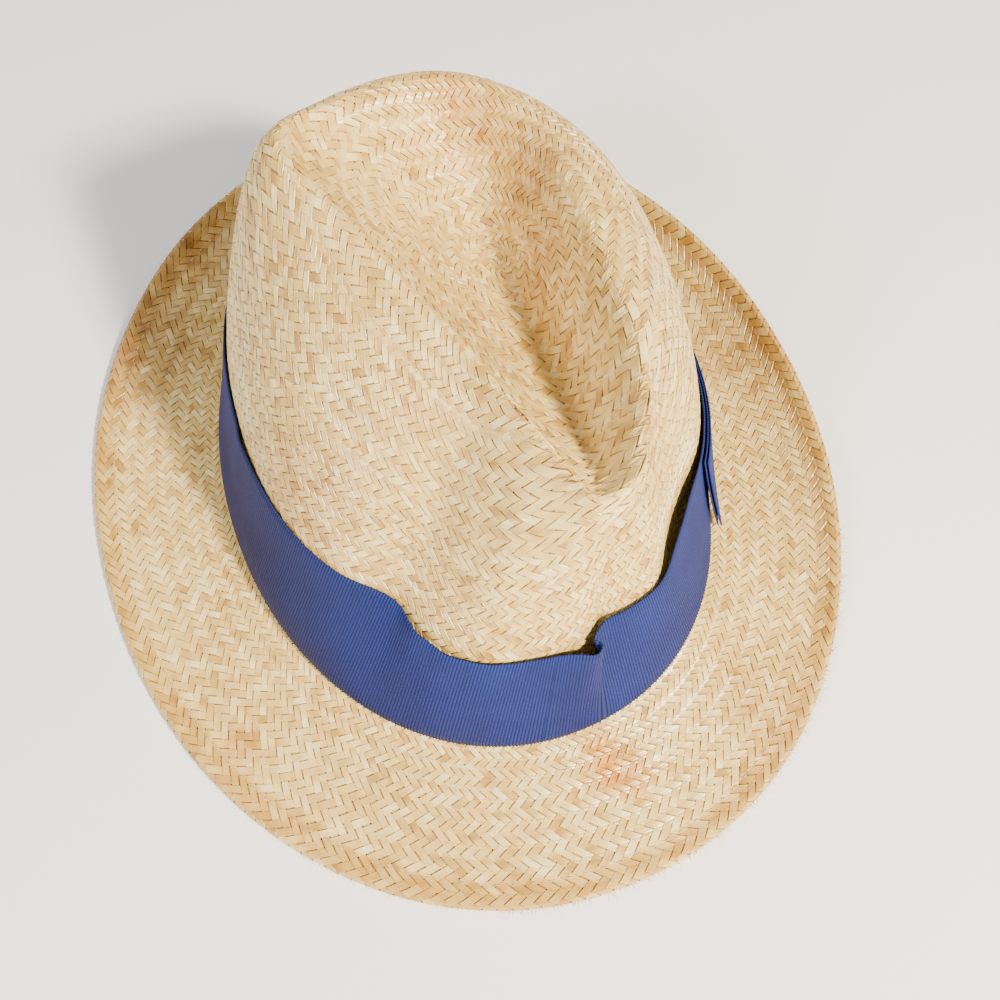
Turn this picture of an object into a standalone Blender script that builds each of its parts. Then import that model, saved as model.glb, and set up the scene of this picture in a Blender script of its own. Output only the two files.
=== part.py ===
"""Woven straw fedora: pinched teardrop crown, wired brim, grosgrain band with a
flat side bow, and a leather sweatband sewn to a reed.

Frame: metres, +Z up. The origin is the centre of the head opening, on the level
surface that the hat stands on. The front of the hat faces -Y and the wearer's
left is +X. Every dimension below is in millimetres or degrees.
"""

import bmesh
import bpy
import numpy as np
from mathutils import Vector

MM = 0.001
NAME = "straw_fedora"

# Head oval where the crown meets the brim, measured to the middle of the straw.
HEAD_HALF_WIDTH = 81.6
HEAD_HALF_LENGTH = 103.0
HEAD_SQUARENESS = 2.1
BREAK_HEIGHT = 5.5
BREAK_RADIUS = 2.0

# Brim outline.
BRIM_HALF_WIDTH = 128.5
BRIM_HALF_LENGTH = 152.0
BRIM_SQUARENESS = 2.08

# Woven sheet, and the hem that is folded under it round the brim wire.
STRAW = 1.0
HEM_GAP = 0.35
HEM_WIDTH = 11.0
FOLD_RADIUS = 1.45
BEAD_RUN = 4.0
WIRE_RADIUS = 0.55

# Curl of the brim's edge: (angle from the front, rise). A rising stretch sags
# by BELLY before it curls, so the brim also touches down there.
CURL = ((0, 0.0), (32, 0.0), (50, 4.0), (68, 11.0), (90, 17.5), (135, 22.0),
        (180, 21.0), (208, 11.0), (232, 2.0), (252, 0.0), (300, 0.0))
CURL_MAX = 22.5
CURL_POWER = 3.4
BELLY = 3.7
FALL_REACH = 0.7

# Crown: (angle from the front, rim x, y, z, wall fullness, band fullness, rim
# roundness, tuck). A fullness of 1 is a straight leaning wall and 2 a round
# shoulder. The tuck is how far the wall is squeezed in behind the band, where
# the stiff ribbon stands off it.
CROWN = np.array((
    (0, 6.5, -70.5, 105.0, 0.84, 0.86, 0.10, 2.0),
    (8, 9.5, -71.5, 105.5, 0.72, 0.72, 0.25, 4.0),
    (18, 14.0, -71.0, 106.5, 0.73, 0.73, 0.50, 4.0),
    (30, 20.0, -66.5, 108.5, 0.84, 0.83, 0.80, 4.5),
    (43, 25.5, -57.0, 110.5, 0.86, 0.86, 1.00, 5.0),
    (56, 30.5, -45.0, 111.5, 0.98, 0.98, 1.00, 4.0),
    (70, 34.5, -31.0, 112.0, 1.35, 1.30, 1.00, 1.0),
    (92, 38.5, 2.0, 111.5, 1.90, 1.90, 1.00, 0.0),
    (120, 41.0, 37.0, 108.5, 2.40, 2.40, 1.00, 0.0),
    (150, 34.0, 61.8, 108.0, 2.20, 2.20, 0.90, 0.0),
    (180, 14.0, 72.5, 110.0, 2.00, 2.00, 0.70, 0.0),
    (203, -12.0, 69.5, 112.7, 1.80, 1.80, 0.50, 0.0),
    (222, -32.0, 61.0, 116.5, 1.60, 1.60, 0.20, 0.0),
    (236, -34.5, 52.5, 117.0, 1.42, 1.42, 0.05, 1.0),
    (254, -28.5, 34.0, 115.0, 1.42, 1.30, 0.00, 3.0),
    (272, -20.0, 9.0, 112.5, 1.45, 1.34, 0.00, 4.0),
    (284, -15.0, -5.0, 111.3, 1.36, 1.28, 0.00, 3.0),
    (297, -10.0, -18.0, 110.2, 1.22, 1.18, 0.00, 2.0),
    (310, -6.5, -32.0, 109.0, 1.03, 1.03, 0.00, 1.0),
    (322, -3.0, -44.0, 108.0, 1.10, 1.16, 0.00, 0.0),
    (333, -0.5, -54.5, 107.0, 1.14, 1.15, 0.00, 0.0),
    (345, 2.5, -64.5, 106.0, 0.98, 0.99, 0.05, 0.0),
))
TUCK_SPAN = 0.55

# Bottom of the teardrop dent, from the front pinch to the back.
VALLEY = np.array((
    (7.0, -65.5, 100.5), (14.0, -44.0, 89.0), (18.5, -15.0, 80.0),
    (20.0, 15.0, 78.0), (20.0, 40.0, 82.0), (18.0, 58.0, 92.0),
))

# Grosgrain band and the bow of the same ribbon on the wearer's left.
BAND_BOTTOM = 7.5
BAND_HEIGHT = 38.0
RIBBON = 0.6
BAND_OFFSET = 1.6
BOW_ANGLE = 98.0
KNOT_HALF = 3.6
KNOT_THICK = 2.4
LEAF_GAP = 1.1
LEAF_SPREAD = 32.5
LEAF_SLANT = 4.2
LEAF_THICK = 1.2
LEAF_INSET = 0.8
LEAF_LIFT = 2.2

# Leather sweatband, as high as its rows of the band's levels, and the reed
# along its sewn edge.
SWEAT_ROWS = 4
LEATHER = 0.9
SWEAT_OFFSET = 1.7
REED_RADIUS = 0.75

# Mesh resolution.
AROUND = 72
DENT_STEPS = (0.0, 0.22, 0.46, 0.68, 0.86, 1.0)
SHOULDER_STEPS = 6
BAND_STEPS = 4
BRIM_STEPS = 6
FOLD_STEPS = 4

ANGLES = np.arange(AROUND) * 360.0 / AROUND
BAND_LEVELS = [BAND_BOTTOM + BAND_HEIGHT * i / BAND_STEPS for i in range(BAND_STEPS + 1)]


def around(stations, at):
    """Closed smooth curve through the stations, read at the angles given."""
    table = np.array(stations, float)
    knots, values = table[:, 0], table[:, 1:]
    step = np.diff(np.append(knots, knots[0] + 360.0))[:, None]
    chord = (np.roll(values, -1, 0) - values) / step
    before = np.roll(step, 1, 0)
    slope = (np.roll(chord, 1, 0) * step + chord * before) / (step + before)
    turn = np.asarray(at, float) % 360.0
    low = np.searchsorted(knots, turn, side="right") - 1
    high = (low + 1) % len(knots)
    span = step[low]
    s = ((turn - knots[low])[:, None]) / span
    return (values[low] * (1 + 2 * s) * (1 - s) ** 2
            + values[high] * s * s * (3 - 2 * s)
            + slope[low] * span * s * (1 - s) ** 2
            - slope[high] * span * s * s * (1 - s))


def along(points, at):
    """Open smooth curve through the points, read at fractions of its run."""
    ends = np.vstack((2 * points[0] - points[1], points, 2 * points[-1] - points[-2]))
    place = np.clip(np.asarray(at, float), 0, 1) * (len(points) - 1)
    low = np.minimum(place.astype(int), len(points) - 2)
    s = (place - low)[:, None]
    a, b, c, d = (ends[low + i] for i in range(4))
    return 0.5 * (2 * b + (c - a) * s + (2 * a - 5 * b + 4 * c - d) * s ** 2
                  + (3 * b - a - 3 * c + d) * s ** 3)


def oval(half_width, half_length, squareness, at):
    """Points of a superellipse in plan, starting at the front."""
    turn = np.radians(np.asarray(at, float))
    x, y = np.sin(turn), -np.cos(turn)
    power = 2.0 / squareness
    return np.stack((half_width * np.sign(x) * np.abs(x) ** power,
                     half_length * np.sign(y) * np.abs(y) ** power), -1)


def outward(at):
    """Unit outward normals of the head oval, in plan."""
    ring = oval(HEAD_HALF_WIDTH, HEAD_HALF_LENGTH, HEAD_SQUARENESS,
                np.concatenate((np.asarray(at) - 0.5, np.asarray(at) + 0.5)))
    before, after = np.split(ring, 2)
    run = after - before
    normal = np.stack((run[:, 1], -run[:, 0]), -1)
    return normal / np.linalg.norm(normal, axis=1, keepdims=True)


def level(plan, height):
    """Plan points lifted to a height."""
    return np.column_stack((plan, np.broadcast_to(height, len(plan))))


def lean(height, fullness):
    """How far in towards the rim a wall has come at a fraction of its height."""
    return 1 - (1 - np.clip(height, 0, 1) ** fullness) ** (1 / fullness)


def wall_foot(at):
    """Foot of the crown wall, where it turns out into the brim."""
    return level(oval(HEAD_HALF_WIDTH, HEAD_HALF_LENGTH, HEAD_SQUARENESS, at),
                 BREAK_HEIGHT + BREAK_RADIUS)


def straw_lean(at, height):
    """How far in towards the rim the straw is, the tuck behind the band included."""
    station = around(CROWN, at)
    reach = np.linalg.norm((station[:, :2] - wall_foot(at)[:, :2]), axis=1)
    squeeze = np.sin(np.pi * np.clip(height / TUCK_SPAN, 0, 1)) ** 2
    tuck = np.maximum(station[:, 6], 0) * squeeze / reach
    return lean(height, station[:, 3]) + tuck


def wall(at, height):
    """Crown wall at a fraction of its height between the foot and the rim."""
    foot, rim = wall_foot(at), around(CROWN, at)[:, :3]
    height = np.broadcast_to(height, len(foot))
    point = foot + (rim - foot) * straw_lean(at, height)[:, None]
    point[:, 2] = foot[:, 2] + (rim - foot)[:, 2] * height
    return point


def height_at(at, z):
    """Fraction of the wall's height that a level is at."""
    foot, rim = wall_foot(at)[:, 2], around(CROWN, at)[:, 2]
    return np.clip((z - foot) / (rim - foot), 0, 1)


def beside_wall(at, z, offset):
    """Point at a level, an offset out from the straw."""
    point = wall(at, height_at(at, z))
    point[:, 2] = z
    point[:, :2] += outward(at) * offset
    return point


def band_surface(at, z, offset=0.0):
    """Point of the band's middle at a level, an offset out from it. The ribbon
    runs straight up between its edges, but never through the straw."""
    station, foot = around(CROWN, at), wall_foot(at)
    top = height_at(at, BAND_BOTTOM + BAND_HEIGHT)
    lean_top = np.minimum(lean(top, station[:, 4]), straw_lean(at, top))
    chord = lean_top * (z - BAND_BOTTOM) / BAND_HEIGHT
    inward = np.minimum(chord, straw_lean(at, height_at(at, z)))
    point = foot + (station[:, :3] - foot) * inward[:, None]
    point[:, 2] = z
    reach = np.broadcast_to(BAND_OFFSET + offset, len(foot))
    point[:, :2] += outward(at) * reach[:, None]
    return point


def dent(at, part):
    """Teardrop dent, from its valley (0) to the crown's rim (1)."""
    station = around(CROWN, at)
    rim, roundness = station[:, :3], station[:, 5:6]
    run = (1 - np.cos(np.radians(at))) / 2
    floor = along(VALLEY, run)
    climb = (1 - roundness) * part ** 1.35 + roundness * part ** 2 * (3 - 2 * part)
    point = floor + (rim - floor) * part
    point[:, 2:] = floor[:, 2:] + (rim - floor)[:, 2:] * climb
    return point


def brim(at, part):
    """Brim from the break (0) to the fold at its edge (1)."""
    inner = oval(HEAD_HALF_WIDTH, HEAD_HALF_LENGTH, HEAD_SQUARENESS, at)
    inner = inner + outward(at) * BREAK_RADIUS
    outer = oval(BRIM_HALF_WIDTH, BRIM_HALF_LENGTH, BRIM_SQUARENESS, at)
    rise = np.maximum(around(CURL, at)[:, 0], 0)
    lay = STRAW / 2 + STRAW + HEM_GAP - BELLY * rise / CURL_MAX
    fall = np.clip(1 - part / FALL_REACH, 0, 1) ** 2
    height = fall * BREAK_HEIGHT + (1 - fall) * lay + rise * part ** CURL_POWER
    return np.column_stack((inner + (outer - inner) * part, height))


def unit(vectors):
    return vectors / np.linalg.norm(vectors, axis=1, keepdims=True)


def brim_frame(at, part):
    """Point on the brim, the direction outward along it, and its upper normal."""
    point = brim(at, part)
    out = unit(brim(at, part) - brim(at, part - 0.02))
    hoop = unit(brim(np.asarray(at) + 1.0, part) - brim(np.asarray(at) - 1.0, part))
    return point, out, unit(np.cross(out, hoop))


def edge_fold(at):
    """Centre of the fold round the wire, with its outward and upper axes."""
    point, out, up = brim_frame(at, 1.0)
    spacing = STRAW + HEM_GAP
    return point - out * FOLD_RADIUS + up * (FOLD_RADIUS - spacing), out, up


def body_rings():
    """Rings of the straw's middle surface, from the dent's valley down the
    crown and out along the brim to the raw edge of the hem."""
    at = ANGLES
    fullness = around(CROWN, at)[:, 3]
    rings = [dent(at, part) for part in DENT_STEPS]
    band_top = np.arcsin(height_at(at, BAND_LEVELS[-1]) ** (fullness / 2))
    for i in range(1, SHOULDER_STEPS):
        turn = np.pi / 2 + (band_top - np.pi / 2) * i / SHOULDER_STEPS
        rings.append(wall(at, np.sin(turn) ** (2 / fullness)))
    rings += [wall(at, height_at(at, z)) for z in reversed(BAND_LEVELS)]
    corner = oval(HEAD_HALF_WIDTH, HEAD_HALF_LENGTH, HEAD_SQUARENESS, at)
    corner = corner + outward(at) * BREAK_RADIUS * (1 - np.sqrt(0.5))
    rings.append(level(corner, BREAK_HEIGHT + BREAK_RADIUS * (1 - np.sqrt(0.5))))
    width = BRIM_HALF_WIDTH - HEAD_HALF_WIDTH - BREAK_RADIUS
    bead_start = 1 - (BEAD_RUN + FOLD_RADIUS) / width
    for i in range(BRIM_STEPS + 1):
        rings.append(brim(at, bead_start * i / BRIM_STEPS))
    centre, out, up = edge_fold(at)
    for i in range(FOLD_STEPS + 1):
        turn = np.pi * i / FOLD_STEPS
        rings.append(centre + (out * np.sin(turn) + up * np.cos(turn)) * FOLD_RADIUS)
    for run in (BEAD_RUN, (BEAD_RUN + HEM_WIDTH) / 2, HEM_WIDTH):
        point, _, up = brim_frame(at, 1 - (run + FOLD_RADIUS) / width)
        rings.append(point - up * (STRAW + HEM_GAP))
    return rings


def loft(rings, closed=True):
    """Mesh through rings of equal length, in millimetres, with welded doubles."""
    mesh = bmesh.new()
    rows = [[mesh.verts.new(Vector(p) * MM) for p in ring] for ring in rings]
    count = len(rows[0])
    last = count if closed else count - 1
    for low, high in zip(rows, rows[1:]):
        for i in range(last):
            j = (i + 1) % count
            mesh.faces.new((low[i], high[i], high[j], low[j]))
    bmesh.ops.remove_doubles(mesh, verts=mesh.verts, dist=0.00002)
    bmesh.ops.dissolve_degenerate(mesh, edges=mesh.edges, dist=0.00001)
    data = bpy.data.meshes.new("loft")
    mesh.to_mesh(data)
    mesh.free()
    return data


def material(name, colour, roughness, metallic=0.0):
    finish = bpy.data.materials.new(name)
    finish.use_nodes = True
    shader = finish.node_tree.nodes["Principled BSDF"]
    shader.inputs["Base Color"].default_value = (*colour, 1)
    shader.inputs["Roughness"].default_value = roughness
    shader.inputs["Metallic"].default_value = metallic
    return finish


def place(name, data, finish, parent, origin=(0, 0, 0)):
    """Object with its origin at a point given in millimetres."""
    piece = bpy.data.objects.new(name, data)
    bpy.context.scene.collection.children[NAME].objects.link(piece)
    data.materials.append(finish)
    piece.parent = parent
    piece.location = Vector(origin) * MM
    return piece


def thicken(piece, thickness):
    shell = piece.modifiers.new("thickness", "SOLIDIFY")
    shell.thickness = thickness * MM
    shell.offset = 0.0
    piece.data.shade_smooth()
    piece.data.set_sharp_from_angle(angle=np.radians(40))
    return piece


def hoop(name, points, radius, finish, parent):
    """Closed wire through points given in millimetres."""
    curve = bpy.data.curves.new(name, "CURVE")
    curve.dimensions = "3D"
    curve.bevel_depth = radius * MM
    curve.bevel_resolution = 1
    spline = curve.splines.new("POLY")
    spline.points.add(len(points) - 1)
    for knot, point in zip(spline.points, points):
        knot.co = (*(Vector(point) * MM), 1)
    spline.use_cyclic_u = True
    return place(name, curve, finish, parent)


def straw_body(parent):
    finish = material("palm_straw", (0.72, 0.58, 0.36), 0.55)
    return thicken(place("straw_body", loft(body_rings()), finish, parent), STRAW)


def brim_wire(parent):
    finish = material("spring_steel", (0.42, 0.42, 0.43), 0.35, 1.0)
    return hoop("brim_wire", edge_fold(ANGLES)[0], WIRE_RADIUS, finish, parent)


def hatband(parent, ribbon):
    rows = [band_surface(ANGLES, z) for z in reversed(BAND_LEVELS)]
    return thicken(place("hatband", loft(rows), ribbon, parent), RIBBON)


def knot_side(side):
    """Angle of the knot's front (-1) or rear (+1) edge, leaf gap included."""
    mean_radius = (HEAD_HALF_WIDTH + HEAD_HALF_LENGTH) / 2
    return BOW_ANGLE + side * np.degrees((KNOT_HALF + LEAF_GAP) / mean_radius)


def leaf_offset():
    return RIBBON / 2 + LEAF_GAP / 2 + LEAF_THICK / 2


def hinge(side):
    """Lower and upper ends of the line that a leaf turns on."""
    root = np.array([knot_side(side)])
    heights = (BAND_BOTTOM + LEAF_INSET, BAND_BOTTOM + BAND_HEIGHT - LEAF_INSET)
    return [band_surface(root, z, leaf_offset())[0] for z in heights]


def bow_leaf(name, side, parent, ribbon):
    """One leaf of the bow, cut on a slant, with its lower corner standing off."""
    low, high = BAND_BOTTOM + LEAF_INSET, BAND_BOTTOM + BAND_HEIGHT - LEAF_INSET
    run = np.linspace(0, 1, 11)
    rows = []
    for part in np.linspace(1, 0, 5):
        spread = LEAF_SPREAD + LEAF_SLANT * (1 - part)
        at = knot_side(side) + side * spread * run
        lift = LEAF_LIFT * run ** 3 * (1 - 0.7 * part)
        rows.append(band_surface(at, low + (high - low) * part, leaf_offset() + lift))
    if side < 0:
        rows = [row[::-1] for row in rows]
    ends = hinge(side)
    origin = (ends[0] + ends[1]) / 2
    data = loft([row - origin for row in rows], closed=False)
    return thicken(place(name, data, ribbon, parent, origin), LEAF_THICK)


def bow_knot(parent, ribbon):
    """Pillow of wrapped ribbon between the leaves."""
    mean_radius = (HEAD_HALF_WIDTH + HEAD_HALF_LENGTH) / 2
    half = np.degrees(KNOT_HALF / mean_radius)
    across = np.linspace(-1, 1, 7)
    base = RIBBON / 2 + LEAF_GAP / 2 + KNOT_THICK / 2
    rows = []
    for part in np.linspace(1, 0, 7):
        z = BAND_BOTTOM + BAND_HEIGHT * part
        crown = (1 - across ** 4) * (1 - abs(2 * part - 1) ** 4)
        rows.append(band_surface(BOW_ANGLE + across * half, z, base + crown))
    return thicken(place("bow_knot", loft(rows, closed=False), ribbon, parent), KNOT_THICK)


def sweatband(parent):
    finish = material("sweatband_leather", (0.30, 0.17, 0.09), 0.6)
    rows = [beside_wall(ANGLES, z, -SWEAT_OFFSET)
            for z in reversed(BAND_LEVELS[:SWEAT_ROWS])]
    return thicken(place("sweatband", loft(rows), finish, parent), LEATHER)


def sweatband_reed(parent):
    finish = material("sewn_reed", (0.62, 0.52, 0.36), 0.6)
    height = BAND_BOTTOM - REED_RADIUS - HEM_GAP
    ring = beside_wall(ANGLES, height, -SWEAT_OFFSET - REED_RADIUS / 2)
    return hoop("sweatband_reed", ring, REED_RADIUS, finish, parent)


def main():
    for piece in list(bpy.data.objects):
        bpy.data.objects.remove(piece, do_unlink=True)
    bpy.context.scene.collection.children.link(bpy.data.collections.new(NAME))
    root = bpy.data.objects.new("hat", None)
    bpy.context.scene.collection.children[NAME].objects.link(root)
    ribbon = material("blue_grosgrain", (0.07, 0.09, 0.30), 0.7)
    straw_body(root)
    brim_wire(root)
    hatband(root, ribbon)
    bow_leaf("bow_front_leaf", -1, root, ribbon)
    bow_leaf("bow_rear_leaf", 1, root, ribbon)
    bow_knot(root, ribbon)
    sweatband(root)
    sweatband_reed(root)
    bpy.context.view_layer.update()


if __name__ == "__main__":
    main()
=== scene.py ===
import math
from functools import partial

import bmesh
import bpy
import numpy as np
from mathutils import Matrix, Vector


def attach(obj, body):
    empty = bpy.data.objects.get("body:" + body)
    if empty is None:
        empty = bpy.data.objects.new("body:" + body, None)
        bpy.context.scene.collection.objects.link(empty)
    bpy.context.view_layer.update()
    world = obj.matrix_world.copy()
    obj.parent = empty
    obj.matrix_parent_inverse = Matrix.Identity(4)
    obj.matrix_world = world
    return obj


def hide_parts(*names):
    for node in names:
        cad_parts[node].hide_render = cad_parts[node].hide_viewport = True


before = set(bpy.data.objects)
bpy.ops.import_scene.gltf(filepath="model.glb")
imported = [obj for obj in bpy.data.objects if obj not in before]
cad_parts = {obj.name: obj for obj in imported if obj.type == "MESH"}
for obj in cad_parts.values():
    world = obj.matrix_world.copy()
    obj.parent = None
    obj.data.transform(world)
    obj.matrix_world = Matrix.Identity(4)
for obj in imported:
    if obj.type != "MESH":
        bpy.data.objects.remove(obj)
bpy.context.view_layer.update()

mm = 0.001

# every size in this dictionary is in millimetres, every angle in degrees from the front
shape = {
    "headHalfWidth": 81.6, "headHalfLength": 103.0, "headSquareness": 2.1,
    "breakHeight": 5.5, "breakRadius": 2.0,
    "brimHalfWidth": 128.5, "brimHalfLength": 152.0, "brimSquareness": 2.08,
    "straw": 1.0, "hemGap": 0.35, "hemWidth": 11.0, "foldRadius": 1.05, "beadRun": 4.5,
    "belly": 3.7, "fallReach": 0.7, "curlMax": 22.5, "curlPower": 3.4, "tuckSpan": 0.55,
    "bandBottom": 7.5, "bandHeight": 38.0, "ribbon": 0.6, "bandOffset": 1.6,
    # rise of the brim's edge
    "curl": [(0, 0.0), (32, 0.0), (50, 4.0), (68, 11.0), (90, 17.5), (135, 22.0),
             (180, 21.0), (208, 11.0), (232, 2.0), (252, 0.0), (300, 0.0)],
    # angle, rim x, y, z, wall fullness, band fullness, rim roundness, tuck behind the band
    "crown": [
        (0, 6.5, -70.5, 105.0, 0.84, 0.86, 0.10, 2.0),
        (8, 9.5, -71.5, 105.5, 0.72, 0.72, 0.25, 4.0),
        (18, 14.0, -71.0, 106.5, 0.73, 0.73, 0.50, 4.0),
        (30, 20.0, -66.5, 108.5, 0.84, 0.83, 0.80, 4.5),
        (43, 25.5, -57.0, 110.5, 0.86, 0.86, 1.00, 5.0),
        (56, 30.5, -45.0, 111.5, 0.98, 0.98, 1.00, 4.0),
        (70, 34.5, -31.0, 112.0, 1.35, 1.30, 1.00, 1.0),
        (92, 38.5, 2.0, 111.5, 1.90, 1.90, 1.00, 0.0),
        (120, 41.0, 37.0, 108.5, 2.40, 2.40, 1.00, 0.0),
        (150, 34.0, 61.8, 108.0, 2.20, 2.20, 0.90, 0.0),
        (180, 14.0, 72.5, 110.0, 2.00, 2.00, 0.70, 0.0),
        (203, -12.0, 69.5, 112.7, 1.80, 1.80, 0.50, 0.0),
        (222, -32.0, 61.0, 116.5, 1.60, 1.60, 0.20, 0.0),
        (236, -34.5, 52.5, 117.0, 1.42, 1.42, 0.05, 1.0),
        (254, -28.5, 34.0, 115.0, 1.42, 1.30, 0.00, 3.0),
        (272, -20.0, 9.0, 112.5, 1.45, 1.34, 0.00, 4.0),
        (284, -15.0, -5.0, 111.3, 1.36, 1.28, 0.00, 3.0),
        (297, -10.0, -18.0, 110.2, 1.22, 1.18, 0.00, 2.0),
        (310, -6.5, -32.0, 109.0, 1.03, 1.03, 0.00, 1.0),
        (322, -3.0, -44.0, 108.0, 1.10, 1.16, 0.00, 0.0),
        (333, -0.5, -54.5, 107.0, 1.14, 1.15, 0.00, 0.0),
        (345, 2.5, -64.5, 106.0, 0.98, 0.99, 0.05, 0.0)],
    # share of the tuck that the woven wall keeps: it fills out against the ribbon
    "tuckKept": [(0, 0.85), (6, 0.75), (12, 0.35), (18, 0.1), (28, 0.1), (38, 0.5), (48, 0.8),
                 (57, 0.9), (68, 1.0), (80, 1.0), (228, 1.0), (236, 0.8), (302, 0.8),
                 (312, 1.0), (320, 1.0), (345, 0.9)],
    "valley": [(7.0, -65.5, 100.5), (14.0, -44.0, 89.0), (18.5, -15.0, 80.0),
               (20.0, 15.0, 78.0), (20.0, 40.0, 82.0), (18.0, 58.0, 92.0)],
}


def around(stations, at):  # closed smooth curve through the stations
    table = np.array(stations, float)
    knots, values = table[:, 0], table[:, 1:]
    step = np.diff(np.append(knots, knots[0] + 360.0))[:, None]
    chord = (np.roll(values, -1, 0) - values) / step
    before = np.roll(step, 1, 0)
    slope = (np.roll(chord, 1, 0) * step + chord * before) / (step + before)
    turn = np.asarray(at, float) % 360.0
    low = np.searchsorted(knots, turn, side="right") - 1
    high = (low + 1) % len(knots)
    span = step[low]
    s = (turn - knots[low])[:, None] / span
    return (values[low] * (1 + 2 * s) * (1 - s) ** 2 + values[high] * s * s * (3 - 2 * s)
            + slope[low] * span * s * (1 - s) ** 2 - slope[high] * span * s * s * (1 - s))


def between(stations, at):  # straight runs between the stations, closed round the hat
    knots, values = np.array(stations, float).T
    return np.interp(np.asarray(at, float) % 360.0, knots, values, period=360.0)


def along(points, at):  # open smooth curve through the points
    points = np.array(points, float)
    ends = np.vstack((2 * points[0] - points[1], points, 2 * points[-1] - points[-2]))
    place = np.clip(np.asarray(at, float), 0, 1) * (len(points) - 1)
    low = np.minimum(place.astype(int), len(points) - 2)
    s = (place - low)[:, None]
    a, b, c, d = (ends[low + i] for i in range(4))
    return 0.5 * (2 * b + (c - a) * s + (2 * a - 5 * b + 4 * c - d) * s ** 2
                  + (3 * b - a - 3 * c + d) * s ** 3)


def oval(halfWidth, halfLength, squareness, at):
    turn = np.radians(np.asarray(at, float))
    x, y = np.sin(turn), -np.cos(turn)
    power = 2.0 / squareness
    return np.stack((halfWidth * np.sign(x) * np.abs(x) ** power,
                     halfLength * np.sign(y) * np.abs(y) ** power), -1)


def headOval(at):
    return oval(shape["headHalfWidth"], shape["headHalfLength"], shape["headSquareness"], at)


def outward(at):  # plan normals of the head oval
    at = np.asarray(at, float)
    run = headOval(at + 0.5) - headOval(at - 0.5)
    normal = np.stack((run[:, 1], -run[:, 0]), -1)
    return normal / np.linalg.norm(normal, axis=1, keepdims=True)


def lean(height, fullness):
    return 1 - (1 - np.clip(height, 0, 1) ** fullness) ** (1 / fullness)


def wallFoot(at):
    z = np.full(len(at), shape["breakHeight"] + shape["breakRadius"])
    return np.column_stack((headOval(at), z))


def strawLean(at, height, tuckShare=1.0):
    station = around(shape["crown"], at)
    reach = np.linalg.norm(station[:, :2] - wallFoot(at)[:, :2], axis=1)
    squeeze = np.sin(np.pi * np.clip(height / shape["tuckSpan"], 0, 1)) ** 2
    tuck = np.maximum(station[:, 6], 0) * tuckShare
    return lean(height, station[:, 3]) + tuck * squeeze / reach


def wall(at, height):
    foot, rim = wallFoot(at), around(shape["crown"], at)[:, :3]
    height = np.broadcast_to(height, len(foot))
    inward = strawLean(at, height, between(shape["tuckKept"], at))
    point = foot + (rim - foot) * inward[:, None]
    point[:, 2] = foot[:, 2] + (rim - foot)[:, 2] * height
    return point


def heightAt(at, z):
    foot, rim = wallFoot(at)[:, 2], around(shape["crown"], at)[:, 2]
    return np.clip((z - foot) / (rim - foot), 0, 1)


def besideWall(at, z, offset):
    point = wall(at, heightAt(at, z))
    point[:, 2] = z
    point[:, :2] += outward(at) * np.broadcast_to(offset, len(point))[:, None]
    return point


def bandSurface(at, z, offset=0.0):
    station, foot = around(shape["crown"], at), wallFoot(at)
    top = heightAt(at, shape["bandBottom"] + shape["bandHeight"])
    leanTop = np.minimum(lean(top, station[:, 4]), strawLean(at, top))
    chord = leanTop * (z - shape["bandBottom"]) / shape["bandHeight"]
    inward = np.minimum(chord, strawLean(at, heightAt(at, z)))
    point = foot + (station[:, :3] - foot) * inward[:, None]
    point[:, 2] = z
    reach = np.broadcast_to(shape["bandOffset"] + offset, len(foot))
    point[:, :2] += outward(at) * reach[:, None]
    return point


def dent(at, part):
    station = around(shape["crown"], at)
    rim, roundness = station[:, :3], station[:, 5:6]
    floor = along(shape["valley"], (1 - np.cos(np.radians(at))) / 2)
    climb = (1 - roundness) * part ** 1.35 + roundness * part ** 2 * (3 - 2 * part)
    point = floor + (rim - floor) * part
    point[:, 2:] = floor[:, 2:] + (rim - floor)[:, 2:] * climb
    return point


def brim(at, part):
    inner = headOval(at) + outward(at) * shape["breakRadius"]
    outer = oval(shape["brimHalfWidth"], shape["brimHalfLength"], shape["brimSquareness"], at)
    rise = np.maximum(around(shape["curl"], at)[:, 0], 0)
    lay = shape["straw"] * 1.5 + shape["hemGap"] - shape["belly"] * rise / shape["curlMax"]
    fall = np.clip(1 - part / shape["fallReach"], 0, 1) ** 2
    height = fall * shape["breakHeight"] + (1 - fall) * lay + rise * part ** shape["curlPower"]
    return np.column_stack((inner + (outer - inner) * part, height))


def unit(vectors):
    return vectors / np.maximum(np.linalg.norm(vectors, axis=-1, keepdims=True), 1e-12)


def brimFrame(at, part):
    point = brim(at, part)
    out = unit(point - brim(at, part - 0.02))
    hoop = unit(brim(np.asarray(at) + 1.0, part) - brim(np.asarray(at) - 1.0, part))
    return point, out, unit(np.cross(out, hoop))


def edgeFold(at):
    point, out, up = brimFrame(at, 1.0)
    spacing = shape["straw"] + shape["hemGap"]
    radius = shape["foldRadius"]
    return point - out * radius + up * (radius - spacing), out, up


print("shape ready")


def linear(hexColour):  # sRGB hex to linear RGBA
    parts = [int(hexColour[i:i + 2], 16) / 255 for i in (1, 3, 5)]
    return (*[c / 12.92 if c <= 0.04045 else ((c + 0.055) / 1.055) ** 2.4 for c in parts], 1.0)


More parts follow.
